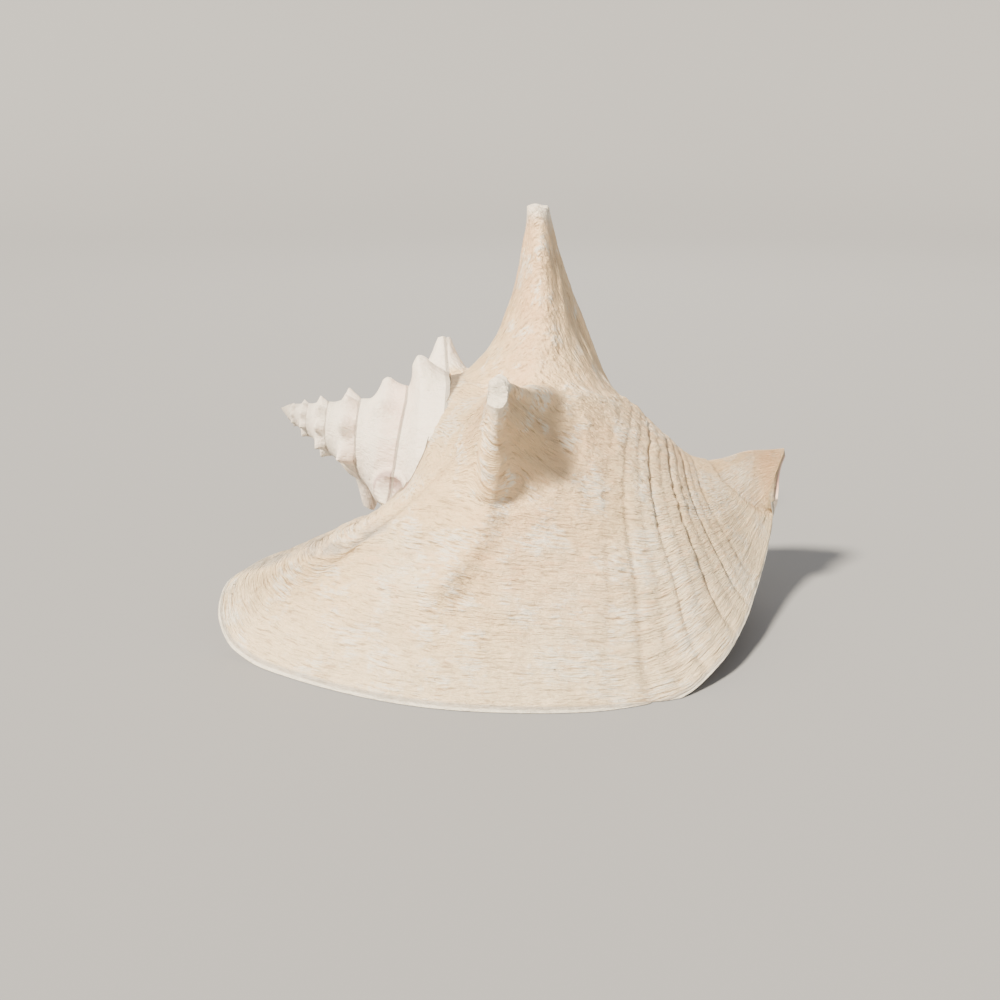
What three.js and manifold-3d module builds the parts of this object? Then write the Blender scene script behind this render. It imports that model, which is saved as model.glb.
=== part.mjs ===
import * as THREE from "three";
import { mergeVertices } from "three/addons/utils/BufferGeometryUtils.js";
import Module from "manifold-3d";

// A queen conch shell lying on its lip, in millimetres, +Z up, the spire towards -X, the lip towards -Y.

// The coiling axis: the tip of the spire, the way it runs, and the length along it
const apex = [-95, 22.2, 73.4];
const axisYaw = 7;
const axisPitch = 11.5;
const shellLength = 212;
const canalFrom = 165; // from here on the canal bends up
const canalRise = 18;
// The axis sags a little below its straight line under the spire
const sag = [[0, 0], [12, 1.5], [22, 2.5], [35, 3.8], [48, 4.5],
  [60, 4.2], [75, 2.6], [90, 0.9], [105, 0], [230, 0]];

// The whorls: place and radius of the shoulder keel where the last whorl crosses the top
const keelAt = 107;
const keelRadius = 49;
const keelShare = 0.24;
const keelPlaces = [[-8, 1.7], [-7, 3], [-6, 5.4], [-5, 9.8], [-4, 17.1], [-3, 28.6],
  [-2, 45.5], [-1, 58.5], [-0.5, 80.5], [0, 107], [0.5, 137]];
const keelRatio = [[-8, 1.2], [-7, 0.95], [-6, 0.72], [-5, 0.58], [-4, 0.52], [-3, 0.5], [-2, 0.5],
  [-1, 0.555], [-0.6, 0.57], [-0.4, 0.61], [-0.25, 0.56], [-0.1, 0.48], [0, 0.458], [0.5, 0.44]];
const shoulder = [[0, 0, 0], [0.4, 0.39, 0.25], [0.733, 0.735, 0.69], [1, 1, 1]];
const bodyProfile = [[0.24, 107, 49], [0.36, 125, 45.5], [0.5, 144, 36.5], [0.64, 163, 25.5],
  [0.76, 179, 17.5], [0.82, 187, 16.5], [0.9, 198, 18], [1, 212, 14]];

// The flared lip: it leaves the body at lipFrom degrees and ends on this edge.
// Share across, place x y z, way over the edge x y z, pull of the edge, drift of the start, bulge x y z
const lipFrom = -10;
const lipEdge = [
  [0, -51, 2, 35, -0.5, 0.4, -0.8, 0.9, -0.45, 0, 0, 0],
  [0.03, -57, -10, 33, -0.75, 0.45, -0.6, 0.8, -0.35, -2, -1, -3],
  [0.06, -64, -22, 33, -0.8, 0.45, -0.6, 0.7, -0.2, -2, -1, -6],
  [0.095, -76, -35, 32, -0.8, 0.45, -0.6, 0.7, -0.1, -1, 0, -10],
  [0.13, -91, -42, 30, -0.75, 0.4, -0.6, 0.7, 0, 0, 0, -13],
  [0.155, -102, -46, 25, -0.8, 0.2, -0.6, 0.8, 0, 0, 0, -13],
  [0.175, -108, -50, 18.5, -0.8, 0, -0.6, 0.8, 0, 0, 0, -11],
  [0.195, -109, -55, 11.5, -0.8, -0.15, -0.6, 0.8, 0, 0, 0, -9],
  [0.215, -105, -61, 4, -0.75, -0.3, -0.6, 0.9, 0, 0, 0, -6],
  [0.24, -96, -70, 1, -0.6, -0.55, -0.6, 1, 0, 0, 0, -3],
  [0.29, -73, -85, 0, -0.4, -0.7, -0.6, 1, 0, 0, 0, 0],
  [0.37, -36, -101, 0, -0.2, -0.8, -0.6, 1, 0, 0, 0, 0],
  [0.45, 0, -107, 0, 0, -0.85, -0.6, 1, 0, 0, 0, 0],
  [0.52, 34, -106, 0, 0.15, -0.85, -0.6, 1, 0, 0, 0, 0],
  [0.59, 64, -97, 0, 0.35, -0.7, -0.6, 1, 0, 0, 0, 0],
  [0.64, 80, -83, 6, 0.5, -0.5, -0.6, 1, 0, 0, 0, 0],
  [0.7, 92, -63, 11, 0.7, -0.25, -0.6, 1, 0, 0, 0, 0],
  [0.77, 101, -42, 16, 0.75, 0, -0.55, 1, 0, 0, 0, 0],
  [0.85, 109, -22, 23, 0.8, 0, -0.5, 1, 0, 0, 0, 0],
  [0.91, 113, -12, 32, 0.7, -0.1, -0.5, 1, 0, 0, 0, 0],
  [1, 111, -14, 43, 0.4, -0.5, -0.5, 0.6, 0, 0, 0, 0],
];
const lipThickness = 3.4;
// Where the lip's top row meets the spire: way over the lip, place along the axis, degrees round it
const lipSeam = [[0, 68.7, -10], [0.1, 70.5, 4], [0.2, 71.3, 17], [0.3, 70, 34], [0.4, 67.8, 50],
  [0.5, 68.3, 70], [0.6, 65.5, 90], [0.7, 60.5, 108], [0.8, 57, 122], [0.9, 55, 136], [1, 52.9, 148]];

// Ribs that wind along the whorl below the keel, by their share across it
const ribs = [0.33, 0.365, 0.402, 0.443, 0.486, 0.53, 0.567, 0.601,
  0.632, 0.667, 0.709, 0.759, 0.815, 0.868, 0.915, 0.955];
const ribHeight = 1.1;

// A low crest runs from the second spine out over the lip: growth, share across
const spineCrest = [[0.44, 0.29], [0.5, 0.33], [0.545, 0.348], [0.629, 0.368],
  [0.742, 0.361], [0.83, 0.35]];
const crestHeight = 3;
const bumpAt = [0.742, 0.361]; // where the crest ends in a low bump

// Knobs on the spire: how many to a turn, and their height as a share of the keel's place
const knobsPerTurn = 8.5;
const knobShare = 0.17;
const knobsEnd = -2.6; // turns before the lip, and from there on each knob is given by itself
// Turn, place down the whorl, reach, foot radius, tip radius, way x y z
const spireSpines = [
  [-2.43, 0.8, 17, 9.5, 2.8, 0.03, -0.1, -1],
  [-2.2, 0.75, 6, 8, 1.8, -0.2, 0.9, 0.3],
  [-2, 0.72, 6.5, 10, 2.2, -0.05, 0, 1],
  [-1.9, 0.62, 4, 8, 1.8, -0.2, -0.7, 0.7],
  [-1.68, 0.99, 4.5, 12, 8, -0.12, -0.95, 0.1],
  [-1.47, 0.75, 10, 11, 2.8, -0.1, 0.2, -1],
  [-1.29, 0.75, 12, 13, 2.8, -0.1, 1, -0.3],
  [-1.09, 0.97, 19, 14, 3.2, -0.04, 0.45, 0.9],
  [-0.98, 0.7, 10, 14, 3.6, -0.2, -0.1, 1],
];

// Spines: growth, share across, reach, radius at the foot, radius at the broken tip, way x y z
const spines = [
  [0, 0.245, 60, 38, 4.8, -0.06, 0.02, 0.99],
  [0.375, 0.27, 38, 33, 5.2, -0.01, -0.8, 0.6],
  [-0.13, 0.23, 28, 22, 3, -0.15, 0.85, 0.5],
  [-0.26, 0.23, 20, 18, 2.5, -0.15, 0.97, -0.1],
  [-0.4, 0.32, 16, 21, 6, 0.3, 0.1, -1],
];
// The two tall spines' sections: how oval the tip is, then their corners:
// degrees round the spine, height, width in degrees
const spineSections = [
  [0, [[-88, 0.2, 20], [8, 0.34, 17], [168, 0.16, 26]]],
  [0.3, [[-92, 0.55, 16], [35, 0.45, 18], [150, 0.1, 30]]],
];

// Steps of the facets
const spireStep = 15;
const bodyStep = 10;
const slideTurns = 0.28;
const lipSteps = 24;

const wasm = await Module();
wasm.setup();

const rad = Math.PI / 180;
const add = (a, b, k = 1) => [a[0] + b[0] * k, a[1] + b[1] * k, a[2] + b[2] * k];
const sub = (a, b) => add(a, b, -1);
const dot = (a, b) => a[0] * b[0] + a[1] * b[1] + a[2] * b[2];
const times = (a, k) => [a[0] * k, a[1] * k, a[2] * k];
const cross = (a, b) => [a[1] * b[2] - a[2] * b[1], a[2] * b[0] - a[0] * b[2], a[0] * b[1] - a[1] * b[0]];
const size = (a) => Math.hypot(a[0], a[1], a[2]);
const unit = (a) => times(a, 1 / size(a));
const clamp = (x, a = 0, b = 1) => Math.min(b, Math.max(a, x));
const smooth = (x) => { const k = clamp(x); return k * k * (3 - 2 * k); };

// The smooth curve through rows of place and values
function through(rows, x) {
  const n = rows.length;
  const slope = (i, c) => {
    if (i === 0) return (rows[1][c] - rows[0][c]) / (rows[1][0] - rows[0][0]);
    if (i === n - 1) return (rows[n - 1][c] - rows[n - 2][c]) / (rows[n - 1][0] - rows[n - 2][0]);
    const hs = rows[i][0] - rows[i - 1][0], hd = rows[i + 1][0] - rows[i][0];
    return (hs * hs * rows[i + 1][c] + (hd * hd - hs * hs) * rows[i][c] - hd * hd * rows[i - 1][c])
      / (hs * hd * (hd + hs));
  };
  const at = clamp(x, rows[0][0], rows[n - 1][0]);
  let i = 0;
  while (i < n - 2 && at >= rows[i + 1][0]) i++;
  const h = rows[i + 1][0] - rows[i][0], u = (at - rows[i][0]) / h;
  const out = [];
  for (let c = 1; c < rows[0].length; c++)
    out.push((2 * u ** 3 - 3 * u ** 2 + 1) * rows[i][c] + (u ** 3 - 2 * u ** 2 + u) * h * slope(i, c)
      + (3 * u ** 2 - 2 * u ** 3) * rows[i + 1][c] + (u ** 3 - u ** 2) * h * slope(i + 1, c));
  return out;
}

// The frame of the coiling axis: along it, up from it, and to its front side
const axisDir = [Math.cos(axisYaw * rad) * Math.cos(axisPitch * rad),
  -Math.sin(axisYaw * rad) * Math.cos(axisPitch * rad), -Math.sin(axisPitch * rad)];
const upDir = unit(add([0, 0, 1], axisDir, -axisDir[2]));
const sideDir = cross(axisDir, upDir);

const bend = (w) =>
  canalRise * Math.max(0, (w - canalFrom) / (shellLength - canalFrom)) ** 2 - through(sag, w)[0];
const centre = (w) => add(add(apex, axisDir, w), upDir, bend(w));
const around = (w, r, phi) => add(add(centre(w), upDir, Math.cos(phi) * r), sideDir, Math.sin(phi) * r);
function cylinder(p) {
  let w = dot(sub(p, apex), axisDir);
  for (let i = 0; i < 3; i++) w = dot(sub(sub(p, apex), times(upDir, bend(w))), axisDir);
  const q = sub(p, centre(w));
  return [w, Math.hypot(dot(q, upDir), dot(q, sideDir)), Math.atan2(dot(q, sideDir), dot(q, upDir))];
}

// Keel and seam of a whorl at a number of turns before or after the top of the last whorl
const keelLogs = keelPlaces.map(([turn, w]) => [turn, Math.log(w)]);
const keelW = (turn) => Math.exp(through(keelLogs, turn)[0]);
const keelR = (turn) => keelW(turn) * through(keelRatio, turn)[0];
const seamW = (turn) => 1.19 * keelW(turn - 1);
const seamR = (turn) => 1.08 * keelR(turn - 1);

function body(phi, s) {
  const turn = phi / (2 * Math.PI);
  const kw = keelW(turn), kr = keelR(turn), sw = seamW(turn), sr = seamR(turn);
  if (s < keelShare) {
    const f = through(shoulder, s / keelShare);
    return around(sw + (kw - sw) * f[0], sr + (kr - sr) * f[1], phi);
  }
  const [w0, r0] = through(bodyProfile, s);
  const w = kw + (w0 - keelAt) * (shellLength - kw) / (shellLength - keelAt);
  const fade = smooth((s - 0.55) / 0.45);
  const inner = smooth((-150 * rad - phi) / (100 * rad));
  const r = r0 * (kr / keelRadius * (1 - fade) + fade) * (1 - 0.6 * inner * smooth((s - 0.5) / 0.4));
  return around(w, r, phi);
}
function spire(phi, v) {
  const turn = phi / (2 * Math.PI);
  const kw = keelW(turn), kr = keelR(turn), sw = seamW(turn), sr = seamR(turn);
  if (v < 0.75) {
    const f = through(shoulder, v / 0.75);
    return around(sw + (kw - sw) * f[0], sr + (kr - sr) * f[1], phi);
  }
  const b = (v - 0.75) / 0.25;
  return around(kw + 0.19 * kw * b, kr * (1 + 0.08 * b), phi);
}
function spireRadius(w, phi) {
  for (let n = -8; n < 1; n++) {
    const turn = phi / (2 * Math.PI) + n;
    const sw = seamW(turn), kw = keelW(turn), nw = 1.19 * kw;
    if (w < sw || w >= nw) continue;
    if (w < kw) return seamR(turn) + (keelR(turn) - seamR(turn)) * through(shoulder, (w - sw) / (kw - sw))[1];
    return keelR(turn) * (1 + 0.08 * (w - kw) / (nw - kw));
  }
  return 0;
}

// Knobs swell the keel of the spire; across is 0 at the keel and grows with distance from it
function knob(p, turn, across) {
  if (turn > knobsEnd) return p;
  let along = (((turn * knobsPerTurn) % 1) + 1) % 1;
  along = Math.min(along, 1 - along);
  const d = Math.hypot(along / 0.45, across / 0.3);
  const lift = knobShare * keelW(turn) * clamp(1 - d) ** 1.25 * (1 - smooth((turn - knobsEnd + 0.1) / 0.1));
  const out = unit(sub(p, centre(cylinder(p)[0])));
  return add(add(p, out, lift), axisDir, -0.25 * lift);
}

// The lip's sheet: t runs from where it leaves the body, 0, to its edge, 1
function lipSheet(t, s) {
  const row = through(lipEdge, s), from = lipFrom * rad, e = 1e-3;
  const p0 = body(from, s);
  const across = unit(sub(body(from, Math.min(1, s + e)), body(from, Math.max(0, s - e))));
  const d0 = unit(add(unit(sub(body(from + e, s), p0)), across, row[7]));
  const p1 = row.slice(0, 3), d1 = unit(row.slice(3, 6));
  const reach = size(sub(p1, p0));
  const m0 = reach * (1.25 - 0.35 * smooth((s - 0.3) / 0.4)), m1 = reach * row[6];
  let p = times(p0, 2 * t ** 3 - 3 * t ** 2 + 1);
  p = add(p, d0, (t ** 3 - 2 * t ** 2 + t) * m0);
  p = add(p, p1, 3 * t ** 2 - 2 * t ** 3);
  p = add(p, d1, (t ** 3 - t ** 2) * m1);
  return add(p, row.slice(8, 11), 16 * t * t * (1 - t) ** 2);
}
// Its top row is laid on the spire along the seam, and the rows next to it are lifted clear of the spire
function lipOnSpire(t, s) {
  const [seamPlace, seamTurn] = through(lipSeam, t), angle = seamTurn * rad;
  const shift = sub(around(seamPlace, spireRadius(seamPlace, angle) - 1.2, angle), lipSheet(t, 0));
  const p = add(lipSheet(t, s), shift, (1 - smooth(s / 0.12)) * (1 - smooth((t - 0.85) / 0.15)));
  const [w, r, phi] = cylinder(p), want = spireRadius(w, phi);
  if (want <= 0) return p;
  const gap = want - 1.2 + 30 * s + 1.2 * smooth(s / 0.03) - r;
  let hug = (1 - smooth((s - 0.08) / 0.12)) * (1 - smooth((t - 0.65) / 0.25));
  if (gap < 0) hug *= 1 - smooth(s / 0.04);
  return add(p, sub(p, centre(w)), hug * gap / r);
}
// Between the seam and the keel it runs nearly straight
function lip(t, s) {
  const p = lipOnSpire(t, s);
  if (s >= 0.26) return p;
  const even = 0.8 * smooth((t - 0.06) / 0.2) * (1 - smooth((t - 0.5) / 0.22));
  const straight = add(times(lipOnSpire(t, 0), 1 - s / 0.26), lipOnSpire(t, 0.26), s / 0.26);
  return add(p, sub(straight, p), even);
}
// Growth is in turns up to the lip, then runs from 0 to 1 over it
const skin = (g, s) => (g < 0 ? body((lipFrom + 360 * g) * rad, s) : lip(g, s));
function facing(g, s) {
  const e = 2e-3;
  const a = sub(skin(Math.min(1, g + e), s), skin(g - e, s));
  const b = sub(skin(g, Math.min(1, s + e)), skin(g, Math.max(0, s - e)));
  return unit(cross(b, a));
}
const inward = facing(0.5, 0.5)[2] > 0 ? -1 : 1;
const normal = (g, s) => times(facing(g, s), -inward);

// Rows across the whorl: the shoulder, then one row to each crest and each groove of the ribs
const rows = [0, 0.04, 0.08, 0.12, 0.155, 0.18, 0.205, 0.225, 0.245, 0.27, 0.3];
const firstRib = rows.length;
ribs.forEach((s, i) => {
  rows.push(s);
  if (i < ribs.length - 1) rows.push(s + (ribs[i + 1] - s) * 0.3);
});
rows.push(1);
function ribAt(j, s) {
  const k = j - firstRib;
  if (k < 0 || k >= 2 * ribs.length - 1 || k % 2 === 1) return 0;
  return ribHeight * smooth((s - 0.34) / 0.2) * (0.3 + 0.7 * smooth((s - 0.48) / 0.1));
}
function crest(g, s) {
  if (g < 0.3) return 0;
  const off = s - through(spineCrest, g)[0];
  const low = Math.exp(-((off / (off < 0 ? 0.03 : 0.024)) ** 2)) * smooth((g - 0.42) / 0.06);
  const bump = Math.exp(-(((g - bumpAt[0]) / 0.04) ** 2) - ((s - bumpAt[1]) / 0.026) ** 2);
  return crestHeight * (low * (1 - smooth((g - 0.7) / 0.12)) + bump);
}

// Spines rise from the skin: points near a spine's foot are drawn in to its line and lifted along it
const slender = (x) => (1 - x ** 0.66) ** 1.6;
const full = (x) => (1 - x ** 0.85) ** 1.5;
function spineShape(c, reach, foot, tip, way, flare) {
  const radii = [], lengths = [0];
  for (let i = 0; i <= 60; i++) {
    radii.push([tip + (foot - tip) * i / 60, reach * flare(i / 60)]);
    if (i > 0) lengths.push(lengths[i - 1] + Math.hypot(...[0, 1].map((c) => radii[i][c] - radii[i - 1][c])));
  }
  return { c, d: unit(way), reach, foot, tip, radii, lengths };
}
const whorlSpines = spines.map(([g, s, reach, foot, tip, ...way], i) =>
  ({ ...spineShape(skin(g, s), reach, foot, tip, way, slender), section: spineSections[i] }));
const spireKnobs = spireSpines.map(([turn, v, reach, foot, tip, ...way]) =>
  spineShape(spire(turn * 2 * Math.PI, v), reach, foot, tip, way, full));
// Draws a spine's round section out to its corners, most at half height
function cornered(out, d, r, u, [oval, corners]) {
  const sideways = unit(add([1, 0, 0], d, -d[0]));
  const angle = Math.atan2(dot(out, cross(d, sideways)), dot(out, sideways)) / rad;
  let grow = -0.06;
  for (const [at, height, width] of corners) {
    const away = ((angle - at + 540) % 360) - 180;
    grow += height * Math.exp(-((away / width) ** 2));
  }
  const end = oval * Math.cos(2 * (angle - 90) * rad) * (1 - smooth(u / 0.6));
  return r * (1 + end + grow * smooth((u - 0.08) / 0.2) * (1 - smooth((u - 0.55) / 0.45)));
}
function raised(p, table) {
  for (const { c, d, reach, foot, tip, radii, lengths, section } of table) {
    const q = sub(p, c), along = dot(q, d), out = add(q, d, -along), far = size(q);
    if (far >= foot || far < 1e-6) continue;
    const u = far / foot, top = Math.max(0.1, 0.8 * tip / foot);
    let r = tip * u / top, h = reach;
    if (u > top) {
      const want = (u - top) / (1 - top) * lengths[60];
      let i = 0;
      while (i < 59 && lengths[i + 1] < want) i++;
      const k = (want - lengths[i]) / (lengths[i + 1] - lengths[i]);
      r = radii[i][0] + (radii[i + 1][0] - radii[i][0]) * k;
      h = radii[i][1] + (radii[i + 1][1] - radii[i][1]) * k;
    }
    if (section) r = cornered(out, d, r, u, section);
    p = add(add(c, out, r / far), d, h + along * smooth((u - 0.7 * top) / (0.6 * top)));
  }
  return p;
}
// Raises a whole field of points, with the point nearest to each spine put on its tip
function withSpines(points, table) {
  const out = points.map((p) => raised(p, table));
  for (const { c, d, reach, foot } of table) {
    let best = -1, near = foot * 0.25;
    points.forEach((p, i) => {
      const far = size(sub(p, c));
      if (far < near) { near = far; best = i; }
    });
    if (best >= 0) out[best] = add(c, d, reach);
  }
  return out;
}

function solid(vertices, triangles) {
  const made = new wasm.Manifold(new wasm.Mesh({
    numProp: 3,
    vertProperties: new Float32Array(vertices.flat()),
    triVerts: new Uint32Array(triangles.flat()),
  }));
  if (made.volume() > 0) return made;
  return new wasm.Manifold(new wasm.Mesh({
    numProp: 3,
    vertProperties: new Float32Array(vertices.flat()),
    triVerts: new Uint32Array(triangles.map(([a, b, c]) => [a, c, b]).flat()),
  }));
}

// The spire: one ribbon that winds up to the last whorl, each turn sharing its lower edge with the next
function spireSolid() {
  const perTurn = 360 / spireStep, m = 7, turns = 5.25;
  const last = turns * perTurn;
  const phiAt = (k) => (lipFrom - 360 + 360 * slideTurns + (k - last + 1) * spireStep) * rad;
  const vertices = [], triangles = [];
  for (let k = 0; k <= last; k++)
    for (let j = 0; j < m; j++) {
      const v = [0, 0.25, 0.45, 0.6, 0.75, 0.86, 0.94][j];
      const phi = phiAt(k);
      let p = knob(spire(phi, v), phi / (2 * Math.PI), v - 0.75);
      if (k === last) p = add(p, sub(p, centre(cylinder(p)[0])), -0.06);
      vertices.push(p);
    }
  withSpines(vertices, spireKnobs).forEach((p, i) => { vertices[i] = p; });
  const under = vertices.length;
  for (let k = last - perTurn + 1; k <= last; k++) {
    const p = raised(spire(phiAt(k), 1), spireKnobs);
    vertices.push(add(p, sub(p, centre(cylinder(p)[0])), -0.03));
  }
  const id = (k, j) => {
    if (j < m) return k * m + j;
    return k + perTurn <= last ? (k + perTurn) * m : under + k - (last - perTurn + 1);
  };
  for (let k = 0; k < last; k++)
    for (let j = 0; j < m; j++) {
      triangles.push([id(k, j), id(k + 1, j), id(k + 1, j + 1)]);
      triangles.push([id(k, j), id(k + 1, j + 1), id(k, j + 1)]);
    }
  const tip = vertices.push(centre(0)) - 1;
  const startLoop = [];
  for (let k = 0; k <= perTurn; k++) startLoop.push(id(k, 0));
  for (let j = m - 1; j > 0; j--) startLoop.push(id(0, j));
  startLoop.forEach((a, i) => {
    const b = startLoop[(i + 1) % startLoop.length];
    if (a !== b) triangles.push([tip, b, a]);
  });
  const deep = vertices.push(centre(keelW(-1) * 1.1)) - 1;
  const endLoop = [];
  for (let j = 0; j <= m; j++) endLoop.push(id(last, j));
  for (let k = last - 1; k > last - perTurn; k--) endLoop.push(id(k, m));
  endLoop.forEach((a, i) => {
    const b = endLoop[(i + 1) % endLoop.length];
    triangles.push([deep, b, a]);
  });
  return solid(vertices, triangles);
}

// Early in the last turn the rows start lower down, clear of the seam, and slide back to their own places;
// the spire's ribbon covers what they leave
function early(g, s) {
  const k = smooth((g + 1) / slideTurns);
  if (k >= 1) return skin(g, s);
  const want = cylinder(skin(-1e-6, s))[0] * (1 - k) + cylinder(skin(g, s))[0] * k;
  let low = 0, high = 1;
  for (let i = 0; i < 24; i++) {
    const mid = (low + high) / 2;
    if (cylinder(skin(g, mid))[0] < want) low = mid; else high = mid;
  }
  return skin(g, low);
}

// The last whorl and its lip as one closed body: round the outside to the edge, back along the inner side,
// and a wall where the hollow ends
function whorlSolid() {
  const steps = 360 / bodyStep, n = rows.length;
  const outer = [], inner = [];
  for (let i = 0; i <= steps + lipSteps; i++)
    for (let j = 0; j < n; j++) {
      const s = rows[j], g = i < steps ? -1 + i / steps : (i - steps) / lipSteps;
      let p = g < 0 ? early(g, s) : skin(g, s);
      if (g < 0) {
        const share = (s - keelShare) / keelShare * 0.75;
        if (g > slideTurns - 1) p = knob(p, lipFrom / 360 + g, share);
        else p = add(p, sub(p, centre(cylinder(p)[0])), -0.06 * (1 - smooth((s - 0.3) / 0.2)));
      }
      if (j === 0 && g < 0.6) p = add(p, sub(p, centre(cylinder(p)[0])), -0.02);
      const rib = ribAt(j, s) * smooth((g + 0.72) / 0.33) * (1 - smooth((g - 0.95) / 0.05)) + crest(g, s);
      const way = normal(clamp(g, -0.99, 0.997), s);
      outer.push(add(g < 0.25 ? raised(p, spireKnobs) : p, way, rib));
      if (g >= 0) {
        const thick = lipThickness * (1 - 0.45 * smooth((g - 0.94) / 0.06));
        const near = (1 - smooth((s - 0.05) / 0.1)) * (1 - smooth((g - 0.6) / 0.15));
        const radial = unit(sub(p, centre(cylinder(p)[0])));
        inner.push(add(p, unit(add(times(way, 1 - near), radial, near)), -thick));
      }
    }
  const vertices = [...withSpines(outer, whorlSpines), ...inner], triangles = [];
  const turn = steps + lipSteps + 1 + lipSteps + 1;
  // Column 0 is the start, then the outer side, then the inner side from the edge back
  const column = (i) => {
    const c = i % turn;
    return c <= steps + lipSteps ? c * n : outer.length + (turn - 1 - c) * n;
  };
  for (let i = 0; i < turn; i++)
    for (let j = 0; j < n - 1; j++) {
      const [p, q] = [column(i) + j, column(i + 1) + j];
      triangles.push([p, q, q + 1], [p, q + 1, p + 1]);
    }
  const top = vertices.push(centre(keelW(-1) * 1.25)) - 1, end = vertices.push(centre(shellLength)) - 1;
  const innerColumn = (i) => outer.length + i * n;
  for (let i = 0; i <= steps; i++) {
    const p = column(i), q = i < steps ? column(i + 1) : innerColumn(0);
    triangles.push([top, q, p], [end, p + n - 1, q + n - 1]);
  }
  triangles.push([top, column(0), innerColumn(0)], [end, innerColumn(0) + n - 1, column(0) + n - 1]);
  for (let i = 0; i < lipSteps; i++) {
    const [a, b, c, d] = [column(steps + i), column(steps + i + 1), innerColumn(i + 1), innerColumn(i)];
    triangles.push([a, d, c], [a, c, b]);
    const k = n - 1;
    triangles.push([a + k, c + k, d + k], [a + k, b + k, c + k]);
  }
  return solid(vertices, triangles);
}

const shell = trimmed(whorlSolid().add(spireSolid()));

// The lip's edge and the lowest knob are worn flat where they rest
function trimmed(whole) {
  const block = new THREE.BoxGeometry(400, 400, 100).translate(0, 0, -50);
  block.deleteAttribute("normal");
  block.deleteAttribute("uv");
  const merged = mergeVertices(block);
  const ground = new wasm.Manifold(new wasm.Mesh({
    numProp: 3,
    vertProperties: merged.attributes.position.array,
    triVerts: new Uint32Array(merged.index.array),
  }));
  return whole.subtract(ground).decompose().reduce((a, b) => (a.volume() > b.volume() ? a : b));
}

function asGeometry(made) {
  const mesh = made.getMesh();
  const points = new Float32Array(mesh.numVert * 3);
  for (let i = 0; i < mesh.numVert; i++)
    points.set(mesh.vertProperties.subarray(i * mesh.numProp, i * mesh.numProp + 3), i * 3);
  const geometry = new THREE.BufferGeometry();
  geometry.setAttribute("position", new THREE.BufferAttribute(points, 3));
  geometry.setIndex(new THREE.BufferAttribute(mesh.triVerts, 1));
  geometry.computeVertexNormals();
  return geometry;
}

const shellPaint = new THREE.MeshStandardMaterial({ color: 0xe6d8c6, roughness: 0.5 });
const conch = new THREE.Mesh(asGeometry(shell), shellPaint);
conch.name = "conch_shell";
const box = shell.boundingBox();
conch.position.set(-(box.min[0] + box.max[0]) / 2, -(box.min[1] + box.max[1]) / 2, -box.min[2]);
const group = new THREE.Group();
group.add(conch);
export default group;
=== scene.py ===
import math
import bpy
import numpy as np
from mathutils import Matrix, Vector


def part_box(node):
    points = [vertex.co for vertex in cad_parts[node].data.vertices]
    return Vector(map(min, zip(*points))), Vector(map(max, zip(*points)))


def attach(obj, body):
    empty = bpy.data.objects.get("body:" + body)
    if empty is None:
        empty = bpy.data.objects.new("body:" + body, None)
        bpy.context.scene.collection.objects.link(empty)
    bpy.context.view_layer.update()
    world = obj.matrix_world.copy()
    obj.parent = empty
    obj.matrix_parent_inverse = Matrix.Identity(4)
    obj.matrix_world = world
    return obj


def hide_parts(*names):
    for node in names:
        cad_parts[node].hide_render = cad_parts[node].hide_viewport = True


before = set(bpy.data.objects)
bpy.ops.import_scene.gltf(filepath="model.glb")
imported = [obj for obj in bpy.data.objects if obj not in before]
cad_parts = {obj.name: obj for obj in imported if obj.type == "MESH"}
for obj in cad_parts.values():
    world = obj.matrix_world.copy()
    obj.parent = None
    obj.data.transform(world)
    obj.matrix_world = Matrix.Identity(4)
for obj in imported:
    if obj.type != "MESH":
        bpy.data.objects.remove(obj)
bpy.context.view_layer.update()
print("frame loaded")

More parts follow.
